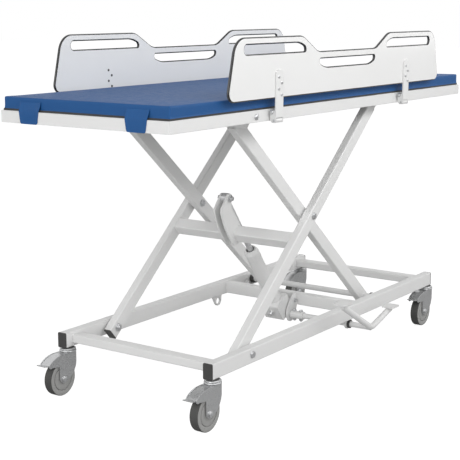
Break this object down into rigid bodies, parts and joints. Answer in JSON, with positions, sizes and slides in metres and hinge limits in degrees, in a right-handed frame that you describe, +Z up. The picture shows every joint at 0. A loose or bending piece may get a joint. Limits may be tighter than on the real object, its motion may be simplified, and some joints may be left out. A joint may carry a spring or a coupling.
{
  "type": "changing trolley",
  "caption": "Height-adjustable changing trolley: padded couch on a scissor lift with a hydraulic foot pump, fold-down side rails and braked swivel casters.",
  "frame": {"origin": "on the floor, under the middle of the part's box in the pictured pose", "axes": "+X towards the head end, +Y towards the side without the pedal, +Z up"},
  "size_m": [1.9056, 0.761, 1.172],
  "materials": {
    "white_paint": "satin white powder coat",
    "pump_paint": "satin light grey enamel",
    "bracket_paint": "satin white powder coat",
    "zinc_steel": "bright zinc plate",
    "polished_rod": "ground and hard chromed",
    "pedal_paint": "satin white powder coat",
    "black_plastic": "matt moulded plastic",
    "black_board": "matt black laminate board",
    "blue_vinyl": "soft blue coated fabric, slight sheen",
    "rail_laminate": "white faced compact laminate with a black core edge",
    "caster_steel": "zinc plated pressed steel",
    "wheel_plastic": "grey moulded wheel centre",
    "tread_rubber": "dark grey rubber"
  },
  "bodies": {
    "base": {"base_tube_right": "white_paint", "base_tube_left": "white_paint", "base_cross_foot": "white_paint", "base_cross_head": "white_paint", "base_cross_middle": "white_paint", "base_end_caps": "black_plastic", "roller_tracks": "white_paint", "pump_bracket": "white_paint", "pedal_hangers": "white_paint", "pedal_bush": "black_plastic", "base_pivot_bolts": "zinc_steel", "caster_heads": "caster_steel"},
    "outer_arms": {"outer_arm_right": "white_paint", "outer_arm_left": "white_paint", "lift_bar": "white_paint", "outer_arm_caps": "black_plastic", "horn_pin": "zinc_steel"},
    "upper_rollers": {"upper_rollers": "black_plastic"},
    "inner_arms": {"inner_arm_right": "white_paint", "inner_arm_left": "white_paint", "inner_arm_tie": "white_paint", "lower_axle": "white_paint", "centre_pivot_bolts": "zinc_steel"},
    "lower_rollers": {"lower_rollers": "black_plastic"},
    "top": {"top_side_right": "white_paint", "top_side_left": "white_paint", "top_end_foot": "white_paint", "top_end_head": "white_paint", "deck_board": "black_board", "mattress": "blue_vinyl", "mattress_straps": "blue_vinyl", "rail_hinge_lugs": "white_paint", "top_pivot_bolts": "zinc_steel"},
    "rail_right": {"rail_panel_right": "rail_laminate", "rail_brackets_right": "bracket_paint", "rail_fasteners_right": "zinc_steel"},
    "rail_left": {"rail_panel_left": "rail_laminate", "rail_brackets_left": "bracket_paint", "rail_fasteners_left": "zinc_steel"},
    "pump": {"pump_barrel": "pump_paint", "pump_block": "pump_paint"},
    "ram_rod": {"ram_rod": "polished_rod"},
    "pedal": {"pedal_shaft": "pedal_paint", "pedal_lever": "pedal_paint"},
    "fork_foot_right": {"caster_fork_foot_right": "caster_steel"},
    "brake_foot_right": {"caster_brake_foot_right": "caster_steel"},
    "wheel_foot_right": {"caster_hub_foot_right": "wheel_plastic", "caster_tread_foot_right": "tread_rubber"},
    "fork_foot_left": {"caster_fork_foot_left": "caster_steel"},
    "brake_foot_left": {"caster_brake_foot_left": "caster_steel"},
    "wheel_foot_left": {"caster_hub_foot_left": "wheel_plastic", "caster_tread_foot_left": "tread_rubber"},
    "fork_head_right": {"caster_fork_head_right": "caster_steel"},
    "brake_head_right": {"caster_brake_head_right": "caster_steel"},
    "wheel_head_right": {"caster_hub_head_right": "wheel_plastic", "caster_tread_head_right": "tread_rubber"},
    "fork_head_left": {"caster_fork_head_left": "caster_steel"},
    "brake_head_left": {"caster_brake_head_left": "caster_steel"},
    "wheel_head_left": {"caster_hub_head_left": "wheel_plastic", "caster_tread_head_left": "tread_rubber"}
  },
  "joints": [
    {"name": "lift", "type": "hinge", "parent": "base", "child": "outer_arms", "pos_m": [-0.523, 0.0295, 0.186], "axis": [0, -1, 0], "range_deg": [-25, 0]},
    {"name": "scissor_cross", "type": "hinge", "parent": "outer_arms", "child": "inner_arms", "pos_m": [-0.0855, 0.0295, 0.55935], "axis": [0, -1, 0], "range_deg": [0, 50]},
    {"name": "top_level", "type": "hinge", "parent": "inner_arms", "child": "top", "pos_m": [-0.523, 0.0295, 0.9327], "axis": [0, -1, 0], "range_deg": [-25, 0]},
    {"name": "lower_roller_spin", "type": "hinge", "parent": "inner_arms", "child": "lower_rollers", "pos_m": [0.352, 0.0295, 0.186], "axis": [0, 1, 0], "continuous": true},
    {"name": "upper_roller_spin", "type": "hinge", "parent": "outer_arms", "child": "upper_rollers", "pos_m": [0.352, 0.0295, 0.9327], "axis": [0, 1, 0], "continuous": true},
    {"name": "pump_swing", "type": "hinge", "parent": "base", "child": "pump", "pos_m": [0.13, 0.0295, 0.135], "axis": [0, -1, 0], "range_deg": [-4.5, 0]},
    {"name": "ram_rod_swing", "type": "hinge", "parent": "outer_arms", "child": "ram_rod", "pos_m": [-0.22405, 0.0295, 0.61464], "axis": [0, -1, 0], "range_deg": [0, 20.5]},
    {"name": "pedal_rock", "type": "hinge", "parent": "base", "child": "pedal", "pos_m": [0.13, 0.0295, 0.135], "axis": [0, -1, 0], "range_deg": [-8, 25], "stiffness_Nm_per_rad": 12},
    {"name": "rail_fold_right", "type": "hinge", "parent": "top", "child": "rail_right", "pos_m": [0, -0.3115, 0.917], "axis": [1, 0, 0], "range_deg": [0, 178]},
    {"name": "rail_fold_left", "type": "hinge", "parent": "top", "child": "rail_left", "pos_m": [0, 0.3705, 0.917], "axis": [-1, 0, 0], "range_deg": [0, 178]},
    {"name": "swivel_foot_right", "type": "hinge", "parent": "base", "child": "fork_foot_right", "pos_m": [-0.713, -0.2665, 0.14], "axis": [0, 0, 1], "continuous": true},
    {"name": "wheel_spin_foot_right", "type": "hinge", "parent": "fork_foot_right", "child": "wheel_foot_right", "pos_m": [-0.755, -0.2665, 0.058], "axis": [0, 1, 0], "continuous": true},
    {"name": "brake_press_foot_right", "type": "hinge", "parent": "fork_foot_right", "child": "brake_foot_right", "pos_m": [-0.775, -0.2665, 0.127], "axis": [0, -1, 0], "range_deg": [0, 8]},
    {"name": "swivel_foot_left", "type": "hinge", "parent": "base", "child": "fork_foot_left", "pos_m": [-0.713, 0.3255, 0.14], "axis": [0, 0, 1], "continuous": true},
    {"name": "wheel_spin_foot_left", "type": "hinge", "parent": "fork_foot_left", "child": "wheel_foot_left", "pos_m": [-0.755, 0.3255, 0.058], "axis": [0, 1, 0], "continuous": true},
    {"name": "brake_press_foot_left", "type": "hinge", "parent": "fork_foot_left", "child": "brake_foot_left", "pos_m": [-0.775, 0.3255, 0.127], "axis": [0, -1, 0], "range_deg": [0, 8]},
    {"name": "swivel_head_right", "type": "hinge", "parent": "base", "child": "fork_head_right", "pos_m": [0.757, -0.2665, 0.14], "axis": [0, 0, 1], "continuous": true},
    {"name": "wheel_spin_head_right", "type": "hinge", "parent": "fork_head_right", "child": "wheel_head_right", "pos_m": [0.715, -0.2665, 0.058], "axis": [0, 1, 0], "continuous": true},
    {"name": "brake_press_head_right", "type": "hinge", "parent": "fork_head_right", "child": "brake_head_right", "pos_m": [0.695, -0.2665, 0.127], "axis": [0, -1, 0], "range_deg": [0, 8]},
    {"name": "swivel_head_left", "type": "hinge", "parent": "base", "child": "fork_head_left", "pos_m": [0.757, 0.3255, 0.14], "axis": [0, 0, 1], "continuous": true},
    {"name": "wheel_spin_head_left", "type": "hinge", "parent": "fork_head_left", "child": "wheel_head_left", "pos_m": [0.715, 0.3255, 0.058], "axis": [0, 1, 0], "continuous": true},
    {"name": "brake_press_head_left", "type": "hinge", "parent": "fork_head_left", "child": "brake_head_left", "pos_m": [0.695, 0.3255, 0.127], "axis": [0, -1, 0], "range_deg": [0, 8]}
  ],
  "couplings": [
    {"joint": "scissor_cross", "follows": "lift", "ratio": -2},
    {"joint": "top_level", "follows": "lift", "ratio": 1},
    {"joint": "pump_swing", "follows": "lift", "ratio": 0.18},
    {"joint": "ram_rod_swing", "follows": "lift", "ratio": -0.82}
  ]
}
